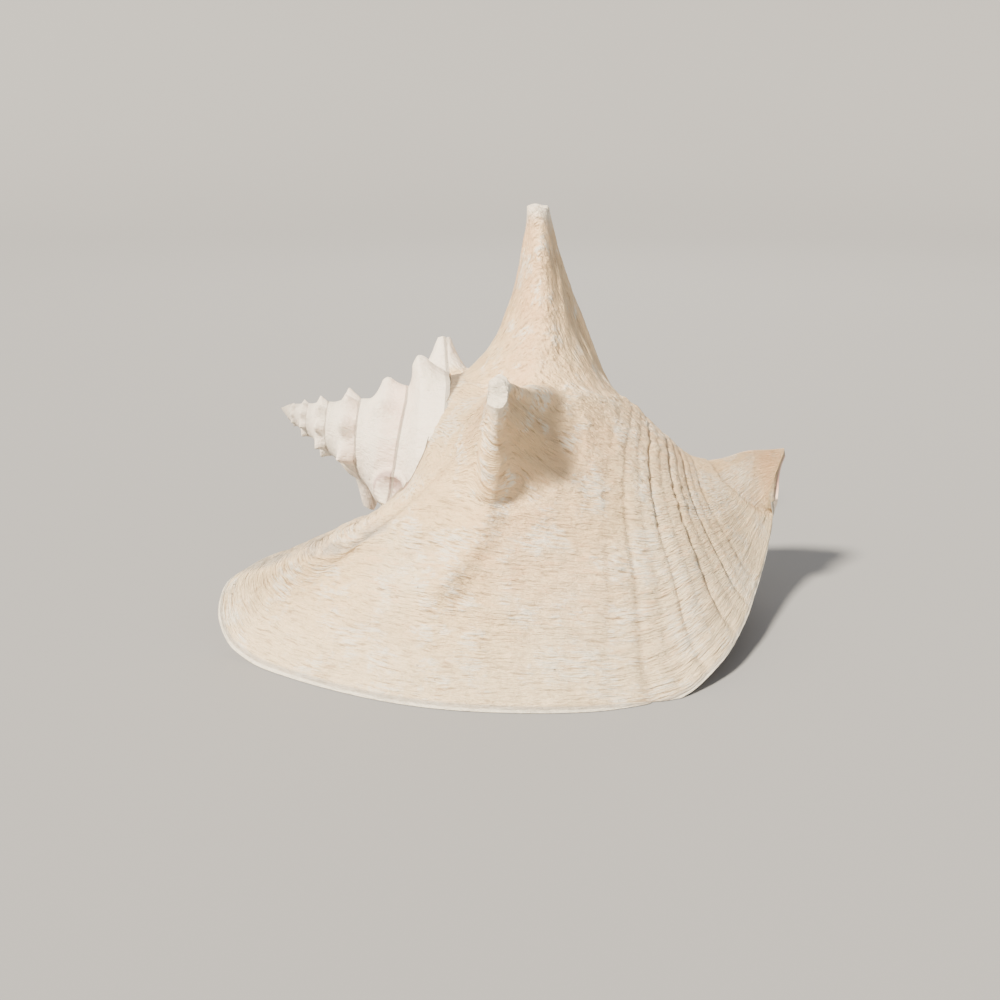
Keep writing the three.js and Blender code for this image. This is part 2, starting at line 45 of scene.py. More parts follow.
# The shell's own form, in millimetres, resting on z = 0 with the spire to the left
shellForm = {
    "apex": (-95.0, 22.2, 73.4), "axisYaw": 7.0, "axisPitch": 11.5,
    "length": 212.0, "canalFrom": 165.0, "canalRise": 18.0,
    "keelAt": 107.0, "keelRadius": 49.0, "keelShare": 0.24,
    "keelPlaces": [(-8, 1.7), (-7, 3.0), (-6, 5.4), (-5, 9.8), (-4, 17.1), (-3, 28.6), (-2, 45.5),
                   (-1, 58.5), (-0.5, 80.5), (0, 107), (0.5, 137)],
    "sag": [(0, 0), (12, 1.5), (22, 2.5), (35, 3.8), (48, 4.5), (60, 4.2), (75, 2.6), (90, 0.9),
            (105, 0), (230, 0)],
    "lipFrom": -10.0, "lipThickness": 3.4,
    "toMiddle": (-4.8922, 13.1077, 0.0),  # from the shell's own frame to the middle of its box
    "keelRatio": [(-8, 1.2), (-7, 0.95), (-6, 0.72), (-5, 0.58), (-4, 0.52), (-3, 0.5), (-2, 0.5),
                  (-1, 0.555), (-0.6, 0.57), (-0.4, 0.61), (-0.25, 0.56), (-0.1, 0.48), (0, 0.458),
                  (0.5, 0.44)],
    "shoulder": [(0, 0, 0), (0.4, 0.39, 0.25), (0.733, 0.735, 0.69), (1, 1, 1)],
    "profile": [(0.24, 107, 49), (0.36, 125, 45.5), (0.5, 144, 36.5), (0.64, 163, 25.5),
                (0.76, 179, 17.5), (0.82, 187, 16.5), (0.9, 198, 18), (1, 212, 14)],
    # share across, place x y z, way over the edge x y z, pull, drift, bulge x y z
    "lipEdge": [
        (0, -51, 2, 35, -0.5, 0.4, -0.8, 0.9, -0.45, 0, 0, 0),
        (0.03, -57, -10, 33, -0.75, 0.45, -0.6, 0.8, -0.35, -2, -1, -3),
        (0.06, -64, -22, 33, -0.8, 0.45, -0.6, 0.7, -0.2, -2, -1, -6),
        (0.095, -76, -35, 32, -0.8, 0.45, -0.6, 0.7, -0.1, -1, 0, -10),
        (0.13, -91, -42, 30, -0.75, 0.4, -0.6, 0.7, 0, 0, 0, -13),
        (0.155, -102, -46, 25, -0.8, 0.2, -0.6, 0.8, 0, 0, 0, -13),
        (0.175, -108, -50, 18.5, -0.8, 0, -0.6, 0.8, 0, 0, 0, -11),
        (0.195, -109, -55, 11.5, -0.8, -0.15, -0.6, 0.8, 0, 0, 0, -9),
        (0.215, -105, -61, 4, -0.75, -0.3, -0.6, 0.9, 0, 0, 0, -6),
        (0.24, -96, -70, 1, -0.6, -0.55, -0.6, 1, 0, 0, 0, -3),
        (0.29, -73, -85, 0, -0.4, -0.7, -0.6, 1, 0, 0, 0, 0),
        (0.37, -36, -101, 0, -0.2, -0.8, -0.6, 1, 0, 0, 0, 0),
        (0.45, 0, -107, 0, 0, -0.85, -0.6, 1, 0, 0, 0, 0),
        (0.52, 34, -106, 0, 0.15, -0.85, -0.6, 1, 0, 0, 0, 0),
        (0.59, 64, -97, 0, 0.35, -0.7, -0.6, 1, 0, 0, 0, 0),
        (0.64, 80, -83, 6, 0.5, -0.5, -0.6, 1, 0, 0, 0, 0),
        (0.7, 92, -63, 11, 0.7, -0.25, -0.6, 1, 0, 0, 0, 0),
        (0.77, 101, -42, 16, 0.75, 0, -0.55, 1, 0, 0, 0, 0),
        (0.85, 109, -22, 23, 0.8, 0, -0.5, 1, 0, 0, 0, 0),
        (0.91, 113, -12, 32, 0.7, -0.1, -0.5, 1, 0, 0, 0, 0),
        (1, 111, -14, 43, 0.4, -0.5, -0.5, 0.6, 0, 0, 0, 0)],
    # where the lip's top row meets the spire: way over the lip, place along the axis, degrees round it
    "lipSeam": [(0, 68.7, -10), (0.1, 70.5, 4), (0.2, 71.3, 17), (0.3, 70, 34), (0.4, 67.8, 50),
                (0.5, 68.3, 70), (0.6, 65.5, 90), (0.7, 60.5, 108), (0.8, 57, 122), (0.9, 55, 136),
                (1, 52.9, 148)],
    "lipSunk": 1.2,  # how far the lip's top row sinks into the spire
    "straightTo": 0.26,  # the share across up to which the lip runs nearly straight from the seam
    # growth, share across, reach, foot radius, tip radius, way x y z
    "spines": [
        (0, 0.245, 60, 38, 4.8, -0.06, 0.02, 0.99),
        (0.375, 0.27, 38, 33, 4.8, -0.01, -0.8, 0.6),
        (-0.13, 0.23, 28, 22, 3, -0.15, 0.85, 0.5),
        (-0.26, 0.23, 20, 18, 2.5, -0.15, 0.97, -0.1),
        (-0.4, 0.32, 16, 21, 6, 0.3, 0.1, -1)],
    # on the spire: turn, place down the whorl, reach, foot radius, tip radius, way x y z
    "spireSpines": [
        (-2.43, 0.8, 17, 9.5, 2.8, 0.03, -0.1, -1),
        (-2.2, 0.75, 6, 8, 1.8, -0.2, 0.9, 0.3),
        (-2.0, 0.72, 6.5, 10, 2.2, -0.05, 0, 1),
        (-1.9, 0.62, 4, 8, 1.8, -0.2, -0.7, 0.7),
        (-1.68, 0.99, 4.5, 12, 8, -0.12, -0.95, 0.1),
        (-1.47, 0.75, 10, 11, 2.8, -0.1, 0.2, -1),
        (-1.29, 0.75, 12, 13, 2.8, -0.1, 1, -0.3),
        (-1.09, 0.97, 19, 14, 3.2, -0.04, 0.45, 0.9),
        (-0.98, 0.7, 10, 14, 3.6, -0.2, -0.1, 1)],
    "knobsPerTurn": 8.5, "knobShare": 0.17, "knobsEnd": -2.6,
    "slideTurns": 0.28,
    "bodyColumns": 176, "lipColumns": 108, "innerEvery": 3, "rows": 236,
    "spirePerTurn": 96, "spireTurns": 5.25, "spireRows": 26,
}
form = shellForm
deg = math.pi / 180


def smooth(x):
    k = np.clip(x, 0, 1)
    return k * k * (3 - 2 * k)


def unit(v):
    return v / np.maximum(np.linalg.norm(v, axis=-1, keepdims=True), 1e-9)


def curveThrough(rows, x):  # the smooth curve through rows of place and values
    table = np.asarray(rows, float)
    at, values = table[:, 0], table[:, 1:]
    slopes = np.gradient(values, at, axis=0)
    x = np.clip(np.asarray(x, float), at[0], at[-1])
    i = np.clip(np.searchsorted(at, x, side="right") - 1, 0, len(at) - 2)
    h = (at[i + 1] - at[i])[..., None]
    u = (x - at[i])[..., None] / h
    return ((2 * u**3 - 3 * u**2 + 1) * values[i] + (u**3 - 2 * u**2 + u) * h * slopes[i]
            + (3 * u**2 - 2 * u**3) * values[i + 1] + (u**3 - u**2) * h * slopes[i + 1])


apex = np.array(form["apex"])
yaw, pitch = form["axisYaw"] * deg, form["axisPitch"] * deg
axisWay = np.array([math.cos(yaw) * math.cos(pitch), -math.sin(yaw) * math.cos(pitch), -math.sin(pitch)])
upWay = unit(np.array([0, 0, 1.0]) - axisWay * axisWay[2])
sideWay = np.cross(axisWay, upWay)


def axisBend(w):
    past = np.clip((w - form["canalFrom"]) / (form["length"] - form["canalFrom"]), 0, None)
    return form["canalRise"] * past**2 - curveThrough(form["sag"], w)[..., 0]


def axisPoint(w):
    return apex + axisWay * w[..., None] + upWay * axisBend(w)[..., None]


def aroundAxis(w, r, phi):
    return axisPoint(w) + (np.cos(phi) * r)[..., None] * upWay + (np.sin(phi) * r)[..., None] * sideWay


def cylinderOf(p):
    w = (p - apex) @ axisWay
    for _ in range(3):
        w = (p - apex - upWay * axisBend(w)[..., None]) @ axisWay
    q = p - axisPoint(w)
    return w, np.hypot(q @ upWay, q @ sideWay), np.arctan2(q @ sideWay, q @ upWay)


def keelPlace(turn):
    return np.exp(curveThrough([(k, math.log(w)) for k, w in form["keelPlaces"]], turn)[..., 0])


def keelRadius(turn):
    return keelPlace(turn) * curveThrough(form["keelRatio"], turn)[..., 0]


def seamPlace(turn):
    return 1.19 * keelPlace(turn - 1)


def seamRadius(turn):
    return 1.08 * keelRadius(turn - 1)


def bodyPoint(phi, s):
    phi, s = np.broadcast_arrays(phi, s)
    turn = phi / (2 * math.pi)
    kw, kr, sw, sr = keelPlace(turn), keelRadius(turn), seamPlace(turn), seamRadius(turn)
    f = curveThrough(form["shoulder"], np.clip(s / form["keelShare"], 0, 1))
    w0, r0 = np.moveaxis(curveThrough(form["profile"], s), -1, 0)
    low = s < form["keelShare"]
    beyond = (form["length"] - kw) / (form["length"] - form["keelAt"])
    w = np.where(low, sw + (kw - sw) * f[..., 0], kw + (w0 - form["keelAt"]) * beyond)
    fade = smooth((s - 0.55) / 0.45)
    inner = smooth((-150 * deg - phi) / (100 * deg))
    r = r0 * (kr / form["keelRadius"] * (1 - fade) + fade) * (1 - 0.6 * inner * smooth((s - 0.5) / 0.4))
    return aroundAxis(w, np.where(low, sr + (kr - sr) * f[..., 1], r), phi)


def spirePoint(phi, v):
    phi, v = np.broadcast_arrays(phi, v)
    turn = phi / (2 * math.pi)
    kw, kr, sw, sr = keelPlace(turn), keelRadius(turn), seamPlace(turn), seamRadius(turn)
    f = curveThrough(form["shoulder"], np.clip(v / 0.75, 0, 1))
    b = np.clip((v - 0.75) / 0.25, 0, 1)
    w = np.where(v < 0.75, sw + (kw - sw) * f[..., 0], kw + 0.19 * kw * b)
    return aroundAxis(w, np.where(v < 0.75, sr + (kr - sr) * f[..., 1], kr * (1 + 0.08 * b)), phi)


def spireRadius(w, phi):
    r = np.zeros_like(w)
    for n in range(-8, 1):
        turn = phi / (2 * math.pi) + n
        sw, kw, sr, kr = seamPlace(turn), keelPlace(turn), seamRadius(turn), keelRadius(turn)
        a = np.clip((w - sw) / (kw - sw), 0, 1)
        b = np.clip((w - kw) / (0.19 * kw), 0, 1)
        above = sr + (kr - sr) * curveThrough(form["shoulder"], a)[..., 1]
        here = np.where(w < kw, above, kr * (1 + 0.08 * b))
        r = np.where((w >= sw) & (w < 1.19 * kw), here, r)
    return r


def lipSheet(t, s):
    start, e = form["lipFrom"] * deg, 1e-3
    row = curveThrough(form["lipEdge"], s)
    p0 = bodyPoint(start, s)
    across = unit(bodyPoint(start, np.clip(s + e, 0, 1)) - bodyPoint(start, np.clip(s - e, 0, 1)))
    d0 = unit(unit(bodyPoint(start + e, s) - p0) + across * row[..., 7:8])
    p1, d1 = row[..., 0:3], unit(row[..., 3:6])
    reach = np.linalg.norm(p1 - p0, axis=-1, keepdims=True)
    m0 = reach * (1.25 - 0.35 * smooth((s - 0.3) / 0.4))[..., None]
    m1 = reach * row[..., 6:7]
    u = t[..., None]
    return ((2 * u**3 - 3 * u**2 + 1) * p0 + (u**3 - 2 * u**2 + u) * m0 * d0 + (3 * u**2 - 2 * u**3) * p1
            + (u**3 - u**2) * m1 * d1 + 16 * u**2 * (1 - u)**2 * row[..., 8:11])


def lipOnSpire(t, s):
    t, s = np.broadcast_arrays(t, s)
    seam = curveThrough(form["lipSeam"], t)
    onSpire = spireRadius(seam[..., 0], seam[..., 1] * deg) - form["lipSunk"]
    shift = aroundAxis(seam[..., 0], onSpire, seam[..., 1] * deg) - lipSheet(t, np.zeros_like(s))
    p = lipSheet(t, s) + shift * ((1 - smooth(s / 0.12)) * (1 - smooth((t - 0.85) / 0.15)))[..., None]
    w, r, phi = cylinderOf(p)
    want = spireRadius(w, phi)
    # near the spire the lip lies on it
    gap = want - form["lipSunk"] + 30 * s + form["lipSunk"] * smooth(s / 0.03) - r
    hug = (1 - smooth((s - 0.08) / 0.12)) * (1 - smooth((t - 0.65) / 0.25)) * smooth(t / 0.1) * (want > 0)
    hug = hug * np.where(gap > 0, 1, 1 - smooth(s / 0.04))
    return p + (p - axisPoint(w)) * (hug * gap / np.maximum(r, 1e-6))[..., None]


def lipPoint(t, s):  # between the seam and the keel the lip runs nearly straight
    t, s = np.broadcast_arrays(t, s)
    far = form["straightTo"]
    x = np.clip(s / far, 0, 1)[..., None]
    even = 0.8 * smooth((t - 0.06) / 0.2) * (1 - smooth((t - 0.5) / 0.22)) * (s < far)
    p = lipOnSpire(t, s)
    straight = lipOnSpire(t, np.zeros_like(s)) * (1 - x) + lipOnSpire(t, np.full_like(s, far)) * x
    return p + (straight - p) * even[..., None]


def skinPoint(g, s):  # growth in turns up to the lip, then 0 to 1 over it
    g, s = np.broadcast_arrays(g, s)
    return np.where((g < 0)[..., None], bodyPoint((form["lipFrom"] + 360 * np.minimum(g, 0)) * deg, s),
                    lipPoint(np.maximum(g, 0), s))


def earlyPoint(g, s):  # rows slide clear of the seam where the last turn starts
    phi, last = (form["lipFrom"] + 360 * g) * deg, np.full_like(g, form["lipFrom"] * deg)
    k = smooth((g + 1) / form["slideTurns"])
    place = cylinderOf(bodyPoint(last, s))[0] * (1 - k) + cylinderOf(bodyPoint(phi, s))[0] * k
    low, high = np.zeros_like(g), np.ones_like(g)
    for _ in range(18):
        mid = (low + high) / 2
        below = cylinderOf(bodyPoint(phi, mid))[0] < place
        low, high = np.where(below, mid, low), np.where(below, high, mid)
    return bodyPoint(phi, low)


def withKnobs(p, turn, across):
    along = (turn * form["knobsPerTurn"]) % 1
    along = np.minimum(along, 1 - along)
    d = np.hypot(along / 0.45, across / 0.3)
    fade = (1 - smooth((turn - form["knobsEnd"] + 0.1) / 0.1)) * (turn <= form["knobsEnd"])
    lift = form["knobShare"] * keelPlace(turn) * np.clip(1 - d, 0, 1)**1.25 * fade
    out = unit(p - axisPoint(cylinderOf(p)[0]))
    return p + out * lift[..., None] - axisWay * (0.25 * lift)[..., None], np.clip(1 - d, 0, 1) * fade


# Fine relief: ribs along the whorl, growth lines across it, and wear
relief = {
    # the grooves between the ribs by share across, how deep each is, and how far they slant over the lip
    "grooves": [0.33, 0.37, 0.41, 0.445, 0.478, 0.51, 0.54, 0.567, 0.598, 0.629, 0.658, 0.685, 0.709,
                0.733, 0.765],
    "depths": [0.6, 0.5, 0.7, 0.5, 0.7, 1.0, 0.35, 1.0, 0.35, 1.0, 0.35, 0.9, 0.3, 0.6, 0.0],
    "slant": 0.055,
    # growth and share along the groove beside the canal
    "canalGroove": [(0.0, 0.798), (0.205, 0.812), (0.495, 0.868), (0.855, 0.925), (1.0, 0.945)],
    "canalDepth": 1.3,
    "ribHeight": 1.2, "lineHeight": 0.5, "wrinkle": 1.0, "roughness": 0.3, "broken": 1.3, "seed": 11,
    # growth and share across along the crest below the second spine, and along the crest over the ear
    "spineCrest": [(0.44, 0.29), (0.5, 0.33), (0.545, 0.348), (0.629, 0.368), (0.742, 0.361),
                   (0.83, 0.35)],
    "earCrest": [(0.6, 0.285), (0.672, 0.25), (0.719, 0.208), (0.856, 0.178), (1.0, 0.165)],
    "spineCrestHeight": 3.0, "knobHeight": 3.0, "earCrestHeight": 1.2,
    "knobAt": (0.742, 0.361),
}
noiseTable = np.random.default_rng(relief["seed"]).random((32, 32, 32))


def noise(x, y, z):
    total = 0
    cell = [np.floor(c).astype(int) for c in (x, y, z)]
    part = [c - f for c, f in zip((x, y, z), cell)]
    part = [k * k * (3 - 2 * k) for k in part]
    for i in (0, 1):
        for j in (0, 1):
            for k in (0, 1):
                weight = ((part[0] if i else 1 - part[0]) * (part[1] if j else 1 - part[1])
                          * (part[2] if k else 1 - part[2]))
                at = (cell[0] + i) % 32, (cell[1] + j) % 32, (cell[2] + k) % 32
                total = total + weight * noiseTable[at]
    return total * 2 - 1


def layeredNoise(p, size, layers=3):
    out, amount = 0, 1.0
    for n in range(layers):
        out = out + amount * noise(*(p[..., c] / size + 7.3 * n + 3.1 * c for c in range(3)))
        size, amount = size / 2.1, amount * 0.5
    return out


# a spine's section: how oval its tip is, then its corners by degrees round it, height, width in degrees
spineCorners = {0: (0.0, [(-88, 0.2, 20), (8, 0.34, 17), (168, 0.16, 26)]),
                1: (0.42, [(-92, 0.55, 16), (35, 0.45, 18), (150, 0.1, 30)])}


def cornered(out, d, r, u, oval, corners):  # draws the section out to its corners, most at half height
    sideways = unit(np.array([1.0, 0, 0]) - d * d[0])
    angle = np.arctan2(out @ np.cross(d, sideways), out @ sideways) / deg
    grow = np.full_like(r, -0.06)
    for at, height, width in corners:
        away = (angle - at + 180) % 360 - 180
        grow = grow + height * np.exp(-(away / width)**2)
    tipShape = oval * np.cos(2 * (angle - 90) * deg) * (1 - smooth(u / 0.6))
    return r * (1 + tipShape + grow * smooth((u - 0.08) / 0.2) * (1 - smooth((u - 0.55) / 0.45)))


def spineFeet():  # the middle of each spine's foot, with its sizes
    whorl = [(skinPoint(np.array(float(g)), np.array(float(s))), *rest)
             for g, s, *rest in form["spines"]]
    spire = [(spirePoint(np.array(turn * 2 * math.pi), np.array(v)), *rest)
             for turn, v, *rest in form["spireSpines"]]
    return whorl, spire


def withSpines(p, feet, corners=False, full=False):
    tall = np.zeros(p.shape[:-1])
    for index, (c, reach, foot, tip, *way) in enumerate(feet):
        d = unit(np.array(way, float))
        x = np.linspace(0, 1, 200)
        radii = tip + (foot - tip) * x
        heights = reach * ((1 - x**0.85)**1.5 if full else (1 - x**0.66)**1.6)
        lengths = np.concatenate([[0], np.cumsum(np.hypot(np.diff(radii), np.diff(heights)))])
        q = p - c
        along = q @ d
        out = q - along[..., None] * d
        far = np.linalg.norm(q, axis=-1)
        u = far / foot
        top = max(0.1, 0.8 * tip / foot)
        want = np.clip((u - top) / (1 - top), 0, 1) * lengths[-1]
        r = np.where(u < top, tip * u / top, np.interp(want, lengths, radii))
        h = np.where(u < top, reach, np.interp(want, lengths, heights))
        worn = h / reach
        if tip > 4:  # a broken tip is flat and rough
            rough = relief["broken"] * layeredNoise(p, 0.9 * tip, 2)
            h = h + rough * smooth((1.5 * top - u) / (0.6 * top)) - 0.5
            level = smooth((u - 0.7 * top) / (0.6 * top))
        else:  # a whole one is rounded
            h = h - 0.5 * tip * np.minimum(u / top, 1)**2 * np.clip(1 - u, 0, 1)**2
            level = 1
        if corners and index in spineCorners:
            r = cornered(out, d, r, u, *spineCorners[index])
        moved = c + out * (r / np.maximum(far, 1e-6))[..., None] + (along * level + h)[..., None] * d
        p = np.where((u < 1)[..., None], moved, p)
        tall = np.maximum(tall, np.where(u < 1, worn, 0))
    return p, tall


def gridNormals(p, facing):
    a, b = np.gradient(p, axis=0), np.gradient(p, axis=1)
    return unit(np.cross(a, b)) * facing


def ribRelief(s, g):  # flat ribs that drop steeply into a groove and rise slowly out of it
    rows = relief["grooves"]
    part = np.interp(s - relief["slant"] * smooth((g - 0.25) / 0.5), rows, np.arange(len(rows)))
    row = np.clip(np.floor(part), 0, len(rows) - 2).astype(int)
    part, depths = part - row, np.array(relief["depths"])
    rise = (1 - np.sin(np.clip(part / 0.6, 0, 1) * math.pi / 2)**0.8) * depths[row]
    drop = (1 - np.cos(np.clip((part - 0.75) / 0.25, 0, 1) * math.pi / 2)**1.3) * depths[row + 1]
    off = s - curveThrough(relief["canalGroove"], g)[..., 0]
    beside = relief["canalDepth"] * np.exp(-(off / np.where(off < 0, 0.007, 0.014))**2)
    beside = beside * smooth((g + 0.1) / 0.2)
    strength = smooth((s - 0.34) / 0.2) * (0.3 + 0.7 * smooth((s - 0.48) / 0.1)) * smooth(-off / 0.02)
    strength = strength * smooth((g + 0.72) / 0.33) * (0.35 + 0.65 * smooth((g + 0.02) / 0.25))
    return (0.3 - np.maximum(rise, drop)) * strength - beside


def crestRelief(g, s):  # the low crests that run out over the lip
    off = (s - curveThrough(relief["spineCrest"], g)[..., 0])
    low = np.exp(-(off / np.where(off < 0, 0.028, 0.016))**2) * smooth((g - 0.42) / 0.06)
    low = low * (1 - smooth((g - 0.7) / 0.12)) * relief["spineCrestHeight"]
    knobGrowth, knobShare = relief["knobAt"]
    knob = relief["knobHeight"] * np.exp(-((g - knobGrowth) / 0.035)**2 - ((s - knobShare) / 0.022)**2)
    high = np.exp(-((s - curveThrough(relief["earCrest"], g)[..., 0]) / 0.012)**2)
    return low + knob + high * smooth((g - 0.6) / 0.08) * relief["earCrestHeight"]


def growthRelief(g, s, p):  # fine uneven lines that run with the lip's edge
    along = np.where(g < 0, g * 300, g * 150)
    across = s * 170
    still = np.zeros_like(along)
    fine = noise(along / 2.4 + 0.6 * noise(along / 9, across / 9, still), across / 11, still)
    broad = noise(along / 5.5, across / 22, still + 5)
    wrinkle = np.clip(noise(along / 3.0, across / 7, still + 9) - 0.25, 0, 1)
    rough = layeredNoise(p, 9.0)
    calm = 1 - 0.7 * smooth((s - 0.55) / 0.2)  # smoother towards the canal
    lines = relief["lineHeight"] * fine + 0.34 * broad + relief["wrinkle"] * wrinkle * (g > 0)
    return (lines + relief["roughness"] * rough) * calm


# Where the shell is peach, its own colour, and where tan goes on: on the whorl as painted shade in the
# hollows and beside the spines, on the spire as the scar of its broken knob: growth, share, spread of both,
# strength
tints = {
    "whorlPeach": [(-0.03, 0.18, 0.07, 0.07, 1.0), (0.12, 0.2, 0.1, 0.08, 0.7),
                   (0.33, 0.22, 0.12, 0.05, 0.8), (0.6, 0.42, 0.1, 0.05, 0.7),
                   (0.2, 0.6, 0.14, 0.12, 0.45), (0.35, 0.45, 0.12, 0.06, 0.5),
                   (-0.1, 0.95, 0.5, 0.09, 1.0), (0.7, 0.5, 0.1, 0.06, 0.5),
                   (0.5, 0.95, 0.5, 0.05, 0.9)],
    "whorlShadeTan": [(-0.652, 0.02, 0.05, 0.09, 1.2), (0.03, 0.3, 0.05, 0.035, 0.75),
                 (0.2, 0.4, 0.12, 0.06, 0.75), (0.42, 0.325, 0.05, 0.03, 0.9),
                 (0.12, 0.5, 0.1, 0.12, 0.5), (0.5, 0.24, 0.12, 0.02, 0.6),
                 (0.86, 0.66, 0.08, 0.08, 0.5), (0.3, 0.17, 0.2, 0.03, 0.4)],
    "spirePeach": [(-1.9, 0.95, 0.35, 0.22, 0.8), (-1.2, 0.2, 0.4, 0.25, 0.5),
                   (-2.8, 0.95, 0.4, 0.2, 0.5)],
    "spireTan": [(-1.68, 0.98, 0.06, 0.2, 1.2)],
}


def tintField(key, g, s):
    return sum(k * np.exp(-((g - a) / c)**2 - ((s - b) / d)**2) for a, b, c, d, k in tints[key])


# How far the whorl draws in towards the axis, as a share of its radius there: at the start of the last
# turn, in its first column, and at the canal's end, where it would come through the lip's sheet
drawnIn = {"start": 0.06, "firstColumn": 0.012, "canalEnd": 0.1}


def makeWhorl():
    bodyGrowth = np.linspace(-1, 0, form["bodyColumns"] + 1)[:-1]
    lipGrowth = np.linspace(0, 1, form["lipColumns"] + 1)
    share = np.linspace(0, 1, form["rows"])
    share = share + 0.035 * np.sin(2 * math.pi * share) * 0.9  # closer rows over the shoulder
    g, s = np.meshgrid(np.concatenate([bodyGrowth, lipGrowth]), share, indexing="ij")
    body = g < 0
    p, lip, first = np.empty(g.shape + (3,)), g[:, 0] >= 0, g[:, 0] < form["slideTurns"] - 1
    p[lip] = lipPoint(g[lip], s[lip])
    p[~lip] = bodyPoint((form["lipFrom"] + 360 * g[~lip]) * deg, s[~lip])
    p[first] = earlyPoint(g[first], s[first])
    away = p - axisPoint(cylinderOf(p)[0])
    early = body & (g <= form["slideTurns"] - 1)
    hidden = np.where(early, drawnIn["start"] * (1 - smooth((s - 0.3) / 0.2)), 0)
    underLip = smooth((g + 0.97) / 0.06) * smooth((-0.52 - g) / 0.08)
    hidden += drawnIn["canalEnd"] * body * smooth((s - 0.87) / 0.05) * underLip
    hidden[:, 0] += np.where(g[:, 0] < 0.6, drawnIn["firstColumn"], 0)
    overKeel = (s - form["keelShare"]) / form["keelShare"] * 0.75
    knobbed, swell = withKnobs(p, form["lipFrom"] / 360 + g, overKeel)
    useKnobs = body & (g > form["slideTurns"] - 1)
    p = np.where(useKnobs[..., None], knobbed, p) - away * hidden[..., None]
    swell = np.where(useKnobs, swell, 0)
    lipStart = form["bodyColumns"]
    plain = p.copy()
    onWhorl, onSpire = spineFeet()
    nearSpire = (g < 0.25)[..., None]
    raisedToo, pale = withSpines(p, onSpire, full=True)
    p = np.where(nearSpire, raisedToo, p)
    p, tall = withSpines(p, onWhorl, True)
    facing = 1 if gridNormals(plain, 1)[lipStart + 60, 120, 2] > 0 else -1
    outward = gridNormals(p, facing)
    edge = 1 - smooth((g - 0.975) / 0.025)
    ribs, lines = ribRelief(s, g), growthRelief(g, s, p)
    lift = (relief["ribHeight"] * ribs + lines * smooth((s - 0.015) / 0.06)) * edge * (g > -0.7)
    lift = lift + crestRelief(g, s) * (g > 0)
    # how raised the relief is: the material paints tan shade where it is low and paler light on its crests
    hollow = np.where(g > -0.7, 0.5 + 0.45 * ribs + 0.3 * lines, 0.5)
    outer = p + outward * lift[..., None]
    radial = unit(plain - axisPoint(cylinderOf(plain)[0]))
    nearSeam = ((1 - smooth((s - 0.05) / 0.1)) * (1 - smooth((g - 0.6) / 0.15)))[..., None]
    plainOut = unit(gridNormals(plain, facing) * (1 - nearSeam) + radial * nearSeam)
    picks = lipStart + np.arange(0, form["lipColumns"] + 1, form["innerEvery"])
    thick = form["lipThickness"] * (1 - 0.45 * smooth((lipGrowth[picks - lipStart] - 0.94) / 0.06))
    inner = plain[picks] - plainOut[picks] * thick[:, None, None]
    n = form["rows"]
    points = np.concatenate([outer.reshape(-1, 3), inner.reshape(-1, 3)])
    inside = np.concatenate([np.zeros(g.size), np.ones(inner.shape[0] * n)])
    growth = np.concatenate([g.ravel(), g[picks].ravel()])
    shareAt = np.concatenate([s.ravel(), s[picks].ravel()])
    worn = np.concatenate([np.maximum(tall, swell * 0.8).ravel(), np.zeros(inner.shape[0] * n)])
    raised = np.concatenate([hollow.ravel(), np.full(inner.shape[0] * n, 0.5)])
    columns = [c * n for c in range(outer.shape[0])]
    innerColumns = [g.size + c * n for c in range(inner.shape[0])]
    ring = columns + innerColumns[::-1]
    rowsAt = np.arange(n - 1)
    faces = []
    for a, b in zip(ring, ring[1:] + ring[:1]):
        quad = np.stack([a + rowsAt, b + rowsAt, b + rowsAt + 1, a + rowsAt + 1], axis=1)
        faces.append(quad)
    faces = np.concatenate(faces).tolist()
    hubs = axisPoint(np.array(keelPlace(-1) * 1.25)), axisPoint(np.array(form["length"]))
    points = np.vstack([points, *hubs])
    top, end = len(points) - 2, len(points) - 1
    loop = columns[:lipStart + 1] + [innerColumns[0]]
    for a, b in zip(loop, loop[1:] + loop[:1]):
        faces.append([top, b, a])
        faces.append([end, a + n - 1, b + n - 1])
    every = form["innerEvery"]
    for i in range(len(innerColumns) - 1):
        k = lipStart + i * every
        for c in range(every):
            faces.append([innerColumns[i], columns[k + c + 1], columns[k + c]])
            faces.append([innerColumns[i] + n - 1, columns[k + c] + n - 1, columns[k + c + 1] + n - 1])
        faces.append([innerColumns[i], innerColumns[i + 1], columns[k + every]])
        faces.append([innerColumns[i] + n - 1, columns[k + every] + n - 1, innerColumns[i + 1] + n - 1])
    # the strip over the ear's crest, where the material paints grey shade
    strip = smooth((curveThrough(relief["earCrest"], g)[..., 0] - s) / 0.012) * smooth((g - 0.6) / 0.06)
    onKnobs = smooth((pale - 0.04) / 0.2) * nearSpire[..., 0]
    spireLike = np.maximum(smooth((-0.52 - g) / 0.08) * smooth((0.26 - s) / 0.04), onKnobs)
    extra, inward = np.zeros(2), np.zeros(inner.shape[0] * n + 2)
    data = {"growth": np.concatenate([growth, extra]), "share": np.concatenate([shareAt, extra]),
            "inside": np.concatenate([inside, extra]), "worn": np.concatenate([worn, extra]),
            "raised": np.concatenate([raised, extra + 0.5])}
    # the tan field is painted shade on the whorl, and is zero on its inner side
    for key, field in (("tint", tintField("whorlPeach", g, s)), ("tan", tintField("whorlShadeTan", g, s)),
                       ("rim", strip), ("spire", spireLike)):
        data[key] = np.concatenate([field.ravel(), inward])
    return points, faces, data


